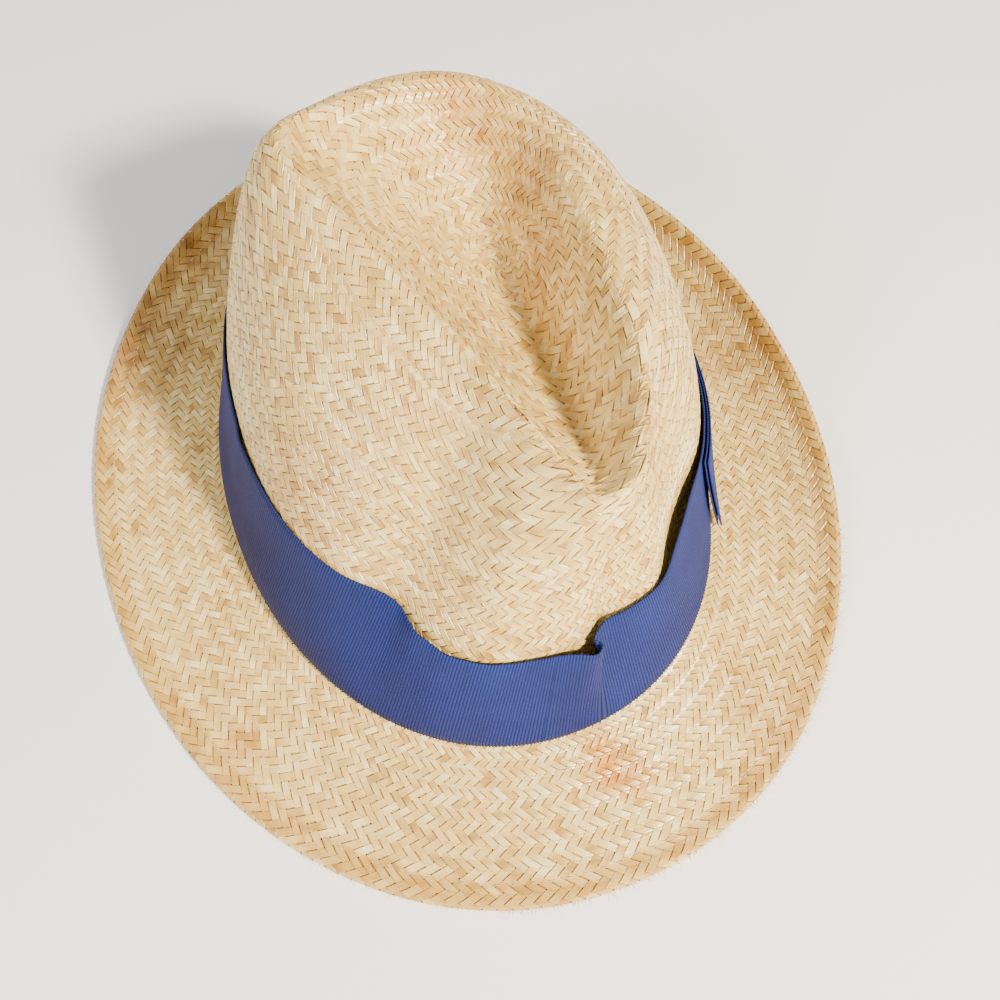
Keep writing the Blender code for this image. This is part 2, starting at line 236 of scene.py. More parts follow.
# short names for the kinds of node that come up again and again, with their settings
shortKinds = {word: ("ShaderNodeMath", {"operation": word.upper()}) for word in (
    "add", "subtract", "multiply", "divide", "multiply_add", "power", "minimum", "absolute",
    "sign", "fract", "sine", "cosine", "greater_than")}
shortKinds.update({
    "mix": ("ShaderNodeMix", {"data_type": "RGBA"}),
    "tint": ("ShaderNodeMix", {"data_type": "RGBA", "blend_type": "MULTIPLY"})})
shortKinds.update({word: (kind, {}) for word, kind in {
    "range": "ShaderNodeMapRange", "noise": "ShaderNodeTexNoise",
    "combine": "ShaderNodeCombineXYZ", "separate": "ShaderNodeSeparateXYZ",
    "mapping": "ShaderNodeMapping", "attribute": "ShaderNodeAttribute",
    "coordinates": "ShaderNodeTexCoord", "random": "FunctionNodeRandomValue",
    "align": "FunctionNodeAlignRotationToVector", "position": "GeometryNodeInputPosition",
    "read": "GeometryNodeInputNamedAttribute", "keep": "GeometryNodeStoreNamedAttribute",
    "move": "GeometryNodeSetPosition", "smooth": "GeometryNodeSetShadeSmooth",
    "instances": "GeometryNodeInstanceOnPoints", "realize": "GeometryNodeRealizeInstances",
}.items()})


def addNode(tree, kind, *values, **settings):  # a node with its settings and links
    kind, preset = shortKinds.get(kind, (kind, {}))
    node = tree.nodes.new(kind)
    for name, value in (preset | settings).items():
        setattr(node, name, value)
    # values fill the sockets in their order, or one dictionary says which
    byName = values and isinstance(values[0], dict)
    for socket, value in (values[0] if byName else dict(enumerate(values))).items():
        if isinstance(value, bpy.types.Node):
            value = value.outputs[0]
        if isinstance(value, bpy.types.NodeSocket):
            tree.links.new(value, node.inputs[socket])
        else:
            node.inputs[socket].default_value = value
    return node


def newTree(name, counts, sizes):  # a geometry tree with named inputs
    tree = bpy.data.node_groups.new(name, "GeometryNodeTree")
    sockets = [("Geometry", "Geometry"), *((label, "Int") for label in counts),
               *((label, "Float") for label in sizes), ("Material", "Material")]
    for label, kind in sockets:
        tree.interface.new_socket(label, in_out="INPUT", socket_type="NodeSocket" + kind)
    tree.interface.new_socket("Geometry", in_out="OUTPUT", socket_type="NodeSocketGeometry")
    return tree, partial(addNode, tree), addNode(tree, "NodeGroupInput").outputs


def closeTree(tree, given, made):  # turns instances real and paints what the tree made
    real = addNode(tree, "realize", made)
    painted = addNode(tree, "GeometryNodeSetMaterial", {
        "Geometry": real, "Material": given["Material"]})
    addNode(tree, "NodeGroupOutput", painted)
    return tree


def addObject(name, mesh):
    piece = bpy.data.objects.new(name, mesh)
    bpy.context.scene.collection.objects.link(piece)
    return piece


def finished(piece):  # applies what modifiers are on a piece
    bpy.context.view_layer.update()
    depsgraph = bpy.context.evaluated_depsgraph_get()
    made = bpy.data.meshes.new_from_object(piece.evaluated_get(depsgraph))
    piece.modifiers.clear()
    piece.data = made
    return piece


def grow(name, mesh, tree, values):  # runs a tree on a mesh and keeps the plain result
    piece = addObject(name, mesh)
    modifier = piece.modifiers.new("grow", "NODES")
    modifier.node_group = tree
    keys = {item.name: item.identifier for item in tree.interface.items_tree
            if item.item_type == "SOCKET" and item.in_out == "INPUT"}
    for label, value in values.items():
        modifier[keys[label]] = value
    return finished(piece)


def fromSoup(name, soup):
    mesh = bpy.data.meshes.new(name)
    soup.to_mesh(mesh)
    soup.free()
    return addObject(name, mesh)


def joined(name, pieces):  # one object from several that share a material
    soup = bmesh.new()
    for piece in pieces:
        soup.from_mesh(piece.data)
        bpy.data.objects.remove(piece)
    return fromSoup(name, soup)


def smoothed(mesh):
    mesh.polygons.foreach_set("use_smooth", [True] * len(mesh.polygons))


def thickened(piece, thickness, finish):  # a sheet gets its thickness, half to each side
    shell = piece.modifiers.new("thickness", "SOLIDIFY")
    shell.thickness, shell.offset = thickness * mm, 0.0
    finished(piece)
    piece.data.materials.clear()
    piece.data.materials.append(finish)
    return piece


def surfaceMesh(name, rows, u, v, low=-9.0, high=9.0):
    # a grid of points in mm that carries its own map and its outward normals
    normals = unit(np.cross(np.gradient(rows, axis=0), np.gradient(rows, axis=1)))
    count, width = v.shape
    i, j = np.meshgrid(np.arange(count - 1), np.arange(width - 1), indexing="ij")
    corner = i * width + j
    faces = np.stack((corner, corner + width, corner + width + 1, corner + 1), -1).reshape(-1, 4)
    flat = v.reshape(-1)
    faces = faces[(flat[faces].max(1) > low) & (flat[faces].min(1) < high)]
    used, faces = np.unique(faces, return_inverse=True)
    faces = faces.reshape(-1, 4)
    mesh = bpy.data.meshes.new(name)
    mesh.from_pydata((rows.reshape(-1, 3)[used] * mm).tolist(), [], faces.tolist())
    layer = mesh.attributes.new("spread", "FLOAT2", "CORNER")
    spread = np.stack((u.reshape(-1)[used], flat[used]), -1)[faces.reshape(-1)]
    layer.data.foreach_set("vector", spread.astype(np.float32).ravel())
    lift = mesh.attributes.new("lift", "FLOAT_VECTOR", "POINT")
    lift.data.foreach_set("vector", normals.reshape(-1, 3)[used].astype(np.float32).ravel())
    return mesh


def newMaterial(name, shaderValues):  # the material and what adds nodes to it
    finish = bpy.data.materials.new(name)
    finish.use_nodes = True
    for label, value in shaderValues.items():
        finish.node_tree.nodes["Principled BSDF"].inputs[label].default_value = value
    return finish, partial(addNode, finish.node_tree)


def closeMaterial(finish, colour, height, strength, depth):  # its colour, and its bump in mm
    tree = finish.node_tree
    shader = tree.nodes["Principled BSDF"]
    bump = addNode(tree, "ShaderNodeBump", {
        "Strength": strength, "Distance": depth * mm, "Height": height})
    tree.links.new(colour.outputs[2], shader.inputs["Base Color"])
    tree.links.new(bump.outputs[0], shader.inputs["Normal"])
    return finish


# the weave: palm strips in a 2/2 twill, at 45 degrees to the hoops of the hat
weave = {
    "wallCount": 150,      # strips of each family round the wall
    "brimCount": 204,      # and round the brim; the change hides behind the ribbon
    "change": 20.0,        # mm above the table where it is
    "rowShare": 0.95,      # length of a row against a square weave
    "stripWidth": 2.4,     # mm on the crown; the brim stretches it to about 3
    "fill": 1.02,          # share of its place that the widest strip takes
    "thickness": 0.40,
    "crimp": 0.23,         # how far a strip rises over the others
    "ringsPerRow": 4,      # edge rings of a strip for each row of the weave
    "firstFull": 0.80,     # share of the way to the band where the full count starts
    "crownCounts": [10, 20, 32, 46, 62, 80, 98, 116, 134],  # strips in the rings of the tip
    "tip": 0.004,          # where the first ring starts
    "tipAt": 0.66,         # where along the valley the weave starts
    "angles": 241,         # columns of the carrying surface
    "dentRows": 18,        # its rows from the valley to the rim
    "shoulderRows": 24,    # and from the rim to the ribbon
    "overlap": 0.35,       # rows that a ring of the tip runs past its neighbour
    "longestRow": 3.6,     # mm, in the rings of the tip
    "longestOverlap": 3.2,
    "firstRings": (0.28, 0.62),  # ends of the first two rings, as shares of the third's
    "endDip": 0.35,        # mm that the strips of the tip sink at their ends
    "warp": 0.55,          # strips that the weave wanders to the side
    "tilt": 0.34,          # mm that a float's edge is tipped up
    "tints": {0.0: "#bd9040", 0.2: "#d2ab58", 0.5: "#e2be6c", 0.8: "#efd184", 1.0: "#f8e09a"},
    # painted shade: the first colour below darkens the strips' edges, standing in for the gaps
    # between them
    # the second colour below is painted shade along the hem, with the yellower cast of its doubled
    # straw
    "gapShade": "#6f4818", "hemTintAndShade": "#dcc284",
}

# blotches on the straw, stains and patches of painted shade: x, y, z, radius in mm, strength,
# colour
stainsAndShade = [
    # stains on the brim and on the crown's top
    (5.0, -117.0, 4.0, 14.0, 0.9, "#e6ae30"),
    (11.0, -124.0, 3.5, 9.0, 0.8, "#ecb238"),
    (1.0, -107.0, 5.5, 8.0, 0.55, "#eac05c"),
    (-102.0, -66.0, 2.5, 8.0, 0.5, "#d8ac50"),
    (-119.0, 48.0, 3.0, 6.0, 0.55, "#d8a94c"),
    (27.0, 59.0, 102.0, 17.0, 0.7, "#dcb45c"),
    (19.0, 70.0, 109.0, 13.0, 0.6, "#e2ba66"),
    # on the dent's steep wall on the +x side: painted shade, with a browner stain
    (36.0, 34.0, 100.0, 20.0, 0.60, "#a9713a"),
    (30.0, 12.0, 92.0, 20.0, 0.42, "#a87540"),
    # painted shadow of the crown on the back of the brim, on the wearer's right
    (-95.0, 95.0, 8.0, 42.0, 0.60, "#9a6c42"),
    (-60.0, 128.0, 14.0, 34.0, 0.50, "#9a6c42"),
    # painted shade on the brim where it curls up, on the wearer's left
    (118.0, 10.0, 14.0, 34.0, 0.45, "#b98a52"),
    # painted shade near the front edge of the brim
    (62.0, -116.0, 3.0, 32.0, 0.35, "#c29a5c"),
    # painted shade on the crown's wall on the wearer's right
    (-62.0, -18.0, 60.0, 34.0, 0.40, "#b78a5c"),
]


def footTurn(at):  # angle by length along the head oval
    fine = np.arange(0, 360.5, 0.5)
    ring = headOval(fine)
    run = np.append(0, np.cumsum(np.linalg.norm(np.diff(ring, axis=0), axis=1)))
    share = np.interp(np.asarray(at) % 360.0, fine, run / run[-1]) * 360.0
    return share + 360.0 * np.floor(np.asarray(at) / 360.0)


def crownRows(at):  # from the valley of the dent to the top of the band
    rows = [dent(at, part) for part in np.linspace(0, 1, weave["dentRows"] + 1)]
    fullness = around(shape["crown"], at)[:, 3]
    top = np.arcsin(heightAt(at, shape["bandBottom"] + shape["bandHeight"]) ** (fullness / 2))
    for share in np.linspace(0, 1, weave["shoulderRows"] + 1)[1:]:
        turn = np.pi / 2 + (top - np.pi / 2) * share
        rows.append(wall(at, np.sin(turn) ** (2 / fullness)))
    return np.array(rows)


def lowerRows(at):  # from the top of the band down the wall and out to the hem's raw edge
    bottom, high = shape["bandBottom"], shape["bandHeight"]
    rows = [wall(at, heightAt(at, bottom + high * share)) for share in np.linspace(1, 0, 15)]
    radius = shape["breakRadius"]
    for turn in np.radians((22, 45, 67)):
        plan = headOval(at) + outward(at) * radius * (1 - np.cos(turn))
        z = shape["breakHeight"] + radius * (1 - np.sin(turn))
        rows.append(np.column_stack((plan, np.full(len(at), z))))
    width = shape["brimHalfWidth"] - shape["headHalfWidth"] - radius
    start = 1 - (shape["beadRun"] + shape["foldRadius"]) / width
    rows += [brim(at, part) for part in np.linspace(0, start, 24)]
    # the last of the brim swells a little over the wire
    swell = 2 * shape["foldRadius"] - shape["straw"] - shape["hemGap"]
    for share in np.linspace(0, 1, 7)[1:-1]:
        point, _, up = brimFrame(at, start + share * shape["beadRun"] / width)
        rows.append(point + up * swell * share * share * (3 - 2 * share))
    centre, out, up = edgeFold(at)
    rows.append(centre + up * shape["foldRadius"])
    for turn in np.linspace(0, np.pi, 13)[1:]:
        rows.append(centre + (out * np.sin(turn) + up * np.cos(turn)) * shape["foldRadius"])
    for run in np.linspace(0, shape["hemWidth"], 8)[1:]:
        point, _, up = brimFrame(at, 1 - (run + shape["foldRadius"]) / width)
        rows.append(point - up * (shape["straw"] + shape["hemGap"]))
    return np.array(rows)


def flatCrown(at, rows):  # unrolls the crown about its tip: radius in mm and angle
    rim = weave["dentRows"]
    step = np.linalg.norm(np.diff(rows, axis=0), axis=2)
    run = np.vstack((np.zeros(len(at)), np.cumsum(step, axis=0)))
    fine = np.linspace(0, 1, 201)
    valley = along(shape["valley"], fine)
    length = np.append(0, np.cumsum(np.linalg.norm(np.diff(valley, axis=0), axis=1)))
    share = (1 - np.cos(np.radians(at))) / 2
    place = np.interp(share, fine, length) - np.interp(weave["tipAt"], fine, length)
    aim = unit(rows[rim][:, :2] - rows[0][:, :2])
    dented = run[:rim + 1, :, None] * aim + np.stack((0 * place, place), -1)
    radius = np.linalg.norm(dented, axis=2)
    turn = np.degrees(np.arctan2(dented[..., 0], -dented[..., 1]))
    turn = at + (turn - at + 180.0) % 360.0 - 180.0
    below = run[rim + 1:] - run[rim]
    blend = below / below[-1]
    blend = blend * blend * (3 - 2 * blend)
    radius = np.vstack((radius, radius[-1] + below))
    turn = np.vstack((turn, turn[-1] + (footTurn(at) - turn[-1]) * blend))
    return radius, turn


def hoopLengths(rows, share, oneTurn, reach):
    # length of the weave's hoops, from the area between shares of the way to the band
    one = rows[1:, 1:] - rows[:-1, :-1]
    other = rows[:-1, 1:] - rows[1:, :-1]
    area = 0.5 * np.linalg.norm(np.cross(one, other), axis=2)[:, oneTurn]
    middle = 0.25 * (share[1:, 1:] + share[:-1, 1:] + share[1:, :-1] + share[:-1, :-1])
    edges = np.linspace(0, 1, 17)
    found, _ = np.histogram(middle[:, oneTurn].ravel(), edges, weights=area.ravel())
    return (edges[1:] + edges[:-1]) / 2, found / (reach * (edges[1] - edges[0]))


def placeOnSurface(add, given, mapPoint, lift):  # a point that far above the carrying surface
    spread = add("read", {"Name": "spread"}, data_type="FLOAT_VECTOR")
    normal = add("read", {"Name": "lift"}, data_type="FLOAT_VECTOR")
    point, normal = (add("GeometryNodeSampleUVSurface", {
        0: given["Geometry"], "Value": value, "UV Map": spread, "Sample UV": mapPoint
    }, data_type="FLOAT_VECTOR") for value in (add("position"), normal))
    push = add("ShaderNodeVectorMath", {0: normal, "Scale": lift}, operation="SCALE")
    return add("ShaderNodeVectorMath", point, push, operation="ADD")


def weaveTree():  # wraps both families of strips on a surface by its map
    tree, add, given = newTree("twillWeave", ("Strips", "Segments", "Seed"), (
        "Start", "Rows", "Fill", "Half Thickness", "Crimp", "End Dip", "Warp", "Tilt"))
    twice = add("multiply", given["Strips"], 2.0)
    line = add("GeometryNodeMeshLine", {"Count": twice, "Offset": (0, 0, 0)})
    tube = add("GeometryNodeMeshCylinder", {
        "Vertices": 5, "Side Segments": given["Segments"], "Radius": 1.0, "Depth": 1.0},
        fill_type="NGON")
    laid = add("instances", {"Points": line, "Instance": tube})
    index = add("GeometryNodeInputIndex")
    numbered = add("keep", {"Geometry": laid, "Name": "strip", "Value": index},
        data_type="FLOAT", domain="INSTANCE")
    real = add("realize", numbered)
    strip = add("read", {"Name": "strip"}, data_type="FLOAT")
    spot = add("separate", add("position"))
    # the second family leans the other way
    second = add("greater_than", strip, add("subtract", given["Strips"], 0.5))
    side = add("multiply_add", second, -2.0, 1.0)
    own = add("subtract", strip, add("multiply", second, given["Strips"]))
    luck = add("random", {0: (0.0, 0.0, 0.0), 1: (1.0, 1.0, 1.0), "ID": strip,
        "Seed": given["Seed"]}, data_type="FLOAT_VECTOR")
    chance = add("separate", luck)
    # place across the strip: flat on top, from -1 at one edge to 1 at the other
    even = add("divide", spot.outputs["Y"], 0.951)
    flat = add("power", add("absolute", even), 0.42)
    edge = add("multiply", flat, add("sign", even))
    narrow = add("multiply_add", chance.outputs[0], 0.13, 0.87)
    half = add("multiply", add("multiply", given["Fill"], narrow), 0.25)
    aside = add("multiply_add", chance.outputs[1], 0.03, -0.015)
    across = add("multiply_add", edge, half, aside)
    # place along the strip, counted in rows of the weave
    end = add("add", spot.outputs["Z"], 0.5)
    row = add("multiply_add", end, given["Rows"], given["Start"])
    centre = add("subtract", own, add("multiply", side, row))
    mapU = add("multiply_add", across, 2.0, centre)
    # slow wander, the same for both families and closed round the hat
    angle = add("divide", add("multiply", mapU, math.tau), given["Strips"])
    cylinder = add("combine", add("cosine", angle), add("sine", angle), add("multiply", row, 0.05))
    wander = add("noise", {"Vector": cylinder, "Scale": 6.0, "Detail": 2.0})
    moved = add("multiply_add", add("subtract", wander, 0.5), given["Warp"], mapU)
    u = add("fract", add("divide", moved, given["Strips"]))
    past = add("subtract", row, given["Start"])
    mapPoint = add("combine", u, add("divide", past, given["Rows"]))
    # over two and under two, a step further on the next strip
    phase = add("subtract", row, add("multiply", side, across))
    swing = add("multiply_add", phase, math.pi, -math.pi / 4)
    wave = add("multiply", add("cosine", swing), 1.6)
    wave = add("ShaderNodeClamp", wave, -1.0, 1.0)
    lift = add("multiply", add("multiply", wave, side), given["Crimp"])
    body = add("multiply", spot.outputs["X"], given["Half Thickness"])
    lift = add("multiply_add", body, -1.15, lift)
    # each float lies a little askew and catches the light its own way
    floatSpot = add("combine", add("multiply", phase, 0.9), add("multiply", strip, 3.7))
    askew = add("noise", {"Vector": floatSpot, "Scale": 1.0, "Detail": 0.0})
    askew = add("subtract", askew, 0.5)
    lift = add("multiply_add", add("multiply", askew, edge), given["Tilt"], lift)
    # both ends dive under the neighbouring ring
    near = add("minimum", past, add("subtract", given["Rows"], past))
    inner = add("ShaderNodeClamp", add("multiply", near, 1.6))
    dip = add("multiply", add("subtract", 1.0, inner), given["End Dip"])
    lift = add("subtract", lift, dip)
    onHat = placeOnSurface(add, given, mapPoint, lift)
    tinted = add("keep", {"Geometry": real, "Name": "tone", "Value": chance.outputs[2]},
        data_type="FLOAT", domain="POINT")
    fibreSpot = add("combine", add("multiply", phase, 4.3), edge, add("multiply", strip, 7.3))
    fibred = add("keep", {"Geometry": tinted, "Name": "fibre", "Value": fibreSpot},
        data_type="FLOAT_VECTOR", domain="POINT")
    placed = add("move", {"Geometry": fibred, "Position": onHat})
    # flat facets keep the strips from looking round
    crisp = add("smooth", {"Geometry": placed, "Shade Smooth": False})
    return closeTree(tree, given, crisp)


def strawMaterial():
    # toquilla palm, split, bleached and woven: satin strips, each with its own tint,
    # fine fibres along it, painted shade at its edges, stains, and tan patches of painted shade
    finish, add = newMaterial("wovenPalmStraw", {"Roughness": 0.3, "IOR": 1.55})
    tone = add("attribute", attribute_name="tone")
    fibre = add("attribute", attribute_name="fibre").outputs["Vector"]
    place = add("coordinates").outputs["Object"]
    # a float's own shade, on top of its strip's
    patch = add("mapping", {"Vector": fibre, "Scale": (0.21, 0.0, 1.3)})
    own = add("noise", {"Vector": patch, "Scale": 1.0, "Detail": 0.0})
    own = add("multiply_add", own, 1.6, -0.52)
    base = add("ShaderNodeValToRGB", add("multiply_add", tone.outputs["Fac"], 0.5, own))
    stops = base.color_ramp.elements
    for spot, tint in weave["tints"].items():
        stop = stops[0] if spot == 0 else stops[-1] if spot == 1 else stops.new(spot)
        stop.color = linear(tint)
    # fibres along the strip, about 0.2 mm wide
    lines = add("mapping", {"Vector": fibre, "Scale": (0.35, 6.0, 1.0)})
    grain = add("noise", {"Vector": lines, "Scale": 1.0, "Detail": 3.0})
    shade = add("range", grain, 0.3, 0.7, 0.84, 1.06)
    colour = add("tint", {0: 1.0, 6: base, 7: shade})
    # painted shade: each strip darkens towards its edges, standing in for the gaps between strips
    side = add("absolute", add("separate", fibre).outputs["Y"])
    rim = add("range", {0: side, 1: 0.84, 2: 0.97, 4: 0.95})
    colour = add("mix", {0: rim, 6: colour.outputs[2], 7: linear(weave["gapShade"])})
    # the folded hem is darker and yellower: painted shade, with the yellower cast of its two
    # layers of straw
    oval = add("mapping", {"Vector": place, "Scale": (1000 / shape["brimHalfWidth"],
        1000 / shape["brimHalfLength"], 0.0)})
    reach = add("ShaderNodeVectorMath", oval, operation="LENGTH")
    hem = add("range", reach.outputs["Value"], 0.945, 0.965, 0.0, 0.6,
        interpolation_type="SMOOTHSTEP")
    colour = add("tint", {0: hem, 6: colour.outputs[2], 7: linear(weave["hemTintAndShade"])})
    # stains and patches of painted shade, with ragged edges
    ragged = add("noise", {"Vector": place, "Scale": 160.0, "Detail": 3.0})
    ragged = add("range", ragged, 0.3, 0.7, 0.35, 1.35)
    for x, y, z, radius, strength, tint in stainsAndShade:
        away = add("ShaderNodeVectorMath", place, (x * mm, y * mm, z * mm), operation="DISTANCE")
        near = add("range", away.outputs["Value"], radius * mm, 0.15 * radius * mm, 0.0, strength,
            interpolation_type="SMOOTHSTEP")
        mask = add("multiply", near, ragged, use_clamp=True)
        colour = add("tint", {0: mask, 6: colour.outputs[2], 7: linear(tint)})
    return closeMaterial(finish, colour, grain, 0.35, 0.1)


def weaveRing(name, tree, straw, mesh, count, start, rows, seed, dip):
    return grow(name, mesh, tree, {
        "Strips": count, "Segments": int(round(rows * weave["ringsPerRow"])), "Start": start,
        "Rows": rows, "Fill": weave["fill"], "Half Thickness": weave["thickness"] / 2 * mm,
        "Crimp": weave["crimp"] * mm, "End Dip": dip * mm, "Warp": weave["warp"],
        "Tilt": weave["tilt"] * mm, "Seed": seed, "Material": straw})


def strawHat(straw):
    tree = weaveTree()
    # a little more than a full turn, so that the seam is covered twice
    at = np.linspace(-9.0, 369.0, weave["angles"])
    crown = crownRows(at)
    surface = np.concatenate((crown, lowerRows(at)[1:]))
    radius, turn = flatCrown(at, crown)
    turns = np.arange(0, 360, 1.5)
    bandTurn = np.interp(turns, at, turn[-1]) % 360.0
    order = np.argsort(bandTurn)
    reach = np.interp(turns, at, radius[-1])[order]
    share = radius / np.interp(turn % 360.0, bandTurn[order], reach, period=360.0)
    oneTurn = slice(np.searchsorted(at, 0.0), np.searchsorted(at, 360.0))
    middle, hoop = hoopLengths(crown, share, oneTurn, reach.mean())
    hoop = np.polyval(np.polyfit(middle, hoop, 4), middle)
    pitch = weave["stripWidth"] * math.sqrt(2)
    pieces = []
    # rings of the tip, each with its own count of strips
    counts = weave["crownCounts"]
    marks = [weave["tip"]] + [float(np.interp((low + high) / 2 * pitch, hoop, middle))
                              for low, high in zip(counts, counts[1:] + [weave["wallCount"]])]
    marks[1:3] = [marks[3] * part for part in weave["firstRings"]]
    marks[-1] = weave["firstFull"]
    print("shares of the rings", [round(mark, 3) for mark in marks])
    for ring, count in enumerate(counts):
        inner, outer = marks[ring], marks[ring + 1]
        local = np.interp((inner + outer) / 2, middle, hoop) / count * weave["rowShare"]
        spare = weave["overlap"] * min(local, weave["longestOverlap"]) / reach.mean()
        inner, outer = max(inner - spare, weave["tip"]), outer + spare
        deep = (outer - inner) * reach.mean()
        rows = max(1.0, round(deep / min(local, weave["longestRow"]) * 2) / 2)
        mesh = surfaceMesh("tipSurface", crown, turn / 360.0, (share - inner) / (outer - inner),
                           -0.1, 1.1)
        pieces.append(weaveRing(f"straw_tip_{ring}", tree, straw, mesh, count, 0.0, rows,
                                20 + ring, weave["endDip"]))
    # from there on one weave to the change behind the ribbon, and one out to the hem
    fine = np.linspace(weave["firstFull"], 1, 60)
    climb = reach.mean() / (np.interp(fine, middle, hoop) / weave["wallCount"])
    rise = np.append(0, np.cumsum((climb[1:] + climb[:-1]) / 2 * np.diff(fine)))
    slope = rise[-1] / (fine[-1] - fine[0])
    v = np.where(share > fine[0], np.interp(share, fine, rise), (share - fine[0]) * slope)
    rings = surface[len(crown) - 1:, oneTurn]
    step = np.linalg.norm(np.diff(rings, axis=0), axis=2).mean(1)
    girth = np.linalg.norm(np.diff(rings, axis=1), axis=2).sum(1)
    length = (girth[1:] + girth[:-1]) / 2
    change = len(crown) + int(np.argmin(abs(rings[1:15, 0, 2] - weave["change"])))
    foot = np.broadcast_to(footTurn(at) / 360.0, (len(length), len(at)))
    u = np.vstack((turn / 360.0, foot))
    for count, names in ((weave["wallCount"], ("shoulder", "wall")),
                         (weave["brimCount"], ("break", "brim", "hem"))):
        below = rise[-1] * count / weave["wallCount"] + np.cumsum(step / (length / count))
        down = np.vstack((v * count / weave["wallCount"],
                          np.broadcast_to(below[:, None], (len(below), len(at)))))
        down = down / weave["rowShare"]
        first, last = 0.0, float(down[change].mean())
        if count == weave["brimCount"]:
            first, last = last, float(down[-1, 0])
        rows = round(last - first)
        down = (down - first) * rows / (last - first)
        cuts = np.round(np.linspace(0, rows, len(names) + 1))
        for name, start, end in zip(names, cuts, cuts[1:]):
            span = float(end - start)
            mesh = surfaceMesh("bodySurface", surface, u, (down - start) / span, -0.1, 1.1)
            pieces.append(weaveRing(f"straw_{name}", tree, straw, mesh, count, float(start),
                                    span, 5, 0.0))
        print("strips", count, "rows", rows)
    pieces.append(tipKnot(straw))
    for piece in pieces:
        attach(piece, "hat")
    print("straw woven", sum(len(piece.data.polygons) for piece in pieces))
    return pieces


def tipKnot(straw):  # the start of the weave, a flat knot in the dent
    centre = along(shape["valley"], [weave["tipAt"]])[0]
    knot = bmesh.new()
    bmesh.ops.create_uvsphere(knot, u_segments=16, v_segments=8, radius=1.3 * mm)
    bmesh.ops.scale(knot, vec=(1, 1, 0.3), verts=knot.verts)
    bmesh.ops.translate(knot, vec=Vector(centre) * mm, verts=knot.verts)
    piece = fromSoup("straw_tip_knot", knot)
    smoothed(piece.data)
    piece.data.materials.append(straw)
    return piece


# grosgrain ribbon, in mm; the fold is where its slack top edge buckles beside the pinch
ribbon = {
    "thickness": 0.5, "bowThickness": 0.45,
    "ribPitch": 1.0, "ribHeight": 0.11, "picot": 0.28, "columnsPerRib": 4,
    "knotHalf": 3.6, "knotCut": 10.0, "knotThick": 2.4, "bowAngle": 98.0,
    "leafGap": 1.1, "leafThick": 1.2, "leafSpread": 32.5, "leafSlant": 4.2,
    "leafInset": 0.8, "leafLift": 2.2, "knotInset": 0.3, "wrinkle": 0.35,
    # painted shade: the first colour below is put in the grooves between the ribs
    # painted shade: the third colour below darkens the ribbon on the wearer's right-hand side
    "groove": "#070c28", "navy": "#1a2968", "shadeCast": "#23223a", "sheen": "#8fa0e0",
    # angle, where it goes, how far it stands off at the top edge
    "fold": [(-9, -9, 0.0), (-6, -6, 0.4), (-3, -2.6, 1.8), (-1, -0.4, 3.6), (0.5, 1.3, 4.6),
             (2, 3.0, 4.3), (3.2, 3.7, 3.1), (4.2, 2.9, 1.8), (5.2, 2.0, 0.8), (6.5, 2.8, -0.3),
             (8.5, 5.9, -0.5), (11, 10, -0.3), (15, 15, 0.0)],
    # angle and stand-off of the top edge elsewhere
    "standOff": [(40, 0.0), (216, 0.0), (226, -0.5), (232, -1.0), (240, -1.3), (248, -1.0),
                 (256, -0.6), (262, -0.75), (264.5, 0.1), (267, -0.7), (272, -0.95),
                 (280, -0.65), (288, -0.45), (296, -0.5), (304, -0.7), (312, -0.5),
                 (317, 0.9), (321, -0.3), (325, 0.7), (330, 0.0), (350, 0.0)],
}


def ribbonTree():  # a fine ribbed sheet laid on a surface by its map
    tree, add, given = newTree("ribbedRibbon", ("Columns", "Rows"), (
        "Length", "Height", "Rib Pitch", "Rib Height", "Picot"))
    grid = add("GeometryNodeMeshGrid", {"Size X": 1.0, "Size Y": 1.0,
        "Vertices X": given["Columns"], "Vertices Y": given["Rows"]})
    spot = add("separate", add("position"))
    u = add("add", spot.outputs["X"], 0.5, use_clamp=True)
    v = add("add", spot.outputs["Y"], 0.5, use_clamp=True)
    run = add("multiply", u, given["Length"])
    swing = add("multiply", add("divide", run, given["Rib Pitch"]), math.tau)
    wave = add("cosine", swing)
    lift = add("multiply", wave, given["Rib Height"])
    # the weft turns back at the selvedge in a small loop on each rib
    fromEdge = add("subtract", v, 0.5)
    atEdge = add("greater_than", add("absolute", fromEdge), 0.499)
    loop = add("multiply", add("add", wave, -1.0), add("sign", fromEdge))
    loop = add("multiply", loop, atEdge)
    half = add("multiply", add("divide", given["Picot"], given["Height"]), 0.5)
    mapPoint = add("combine", u, add("multiply_add", loop, half, v, use_clamp=True))
    onBand = placeOnSurface(add, given, mapPoint, lift)
    cloth = add("combine", run, add("multiply", v, given["Height"]))
    mapped = add("keep", {"Geometry": grid, "Name": "cloth", "Value": cloth},
        data_type="FLOAT_VECTOR", domain="POINT")
    placed = add("move", {"Geometry": mapped, "Position": onBand})
    sewn = add("GeometryNodeMergeByDistance", {"Geometry": placed, "Distance": 0.01 * mm})
    return closeTree(tree, given, add("smooth", sewn))


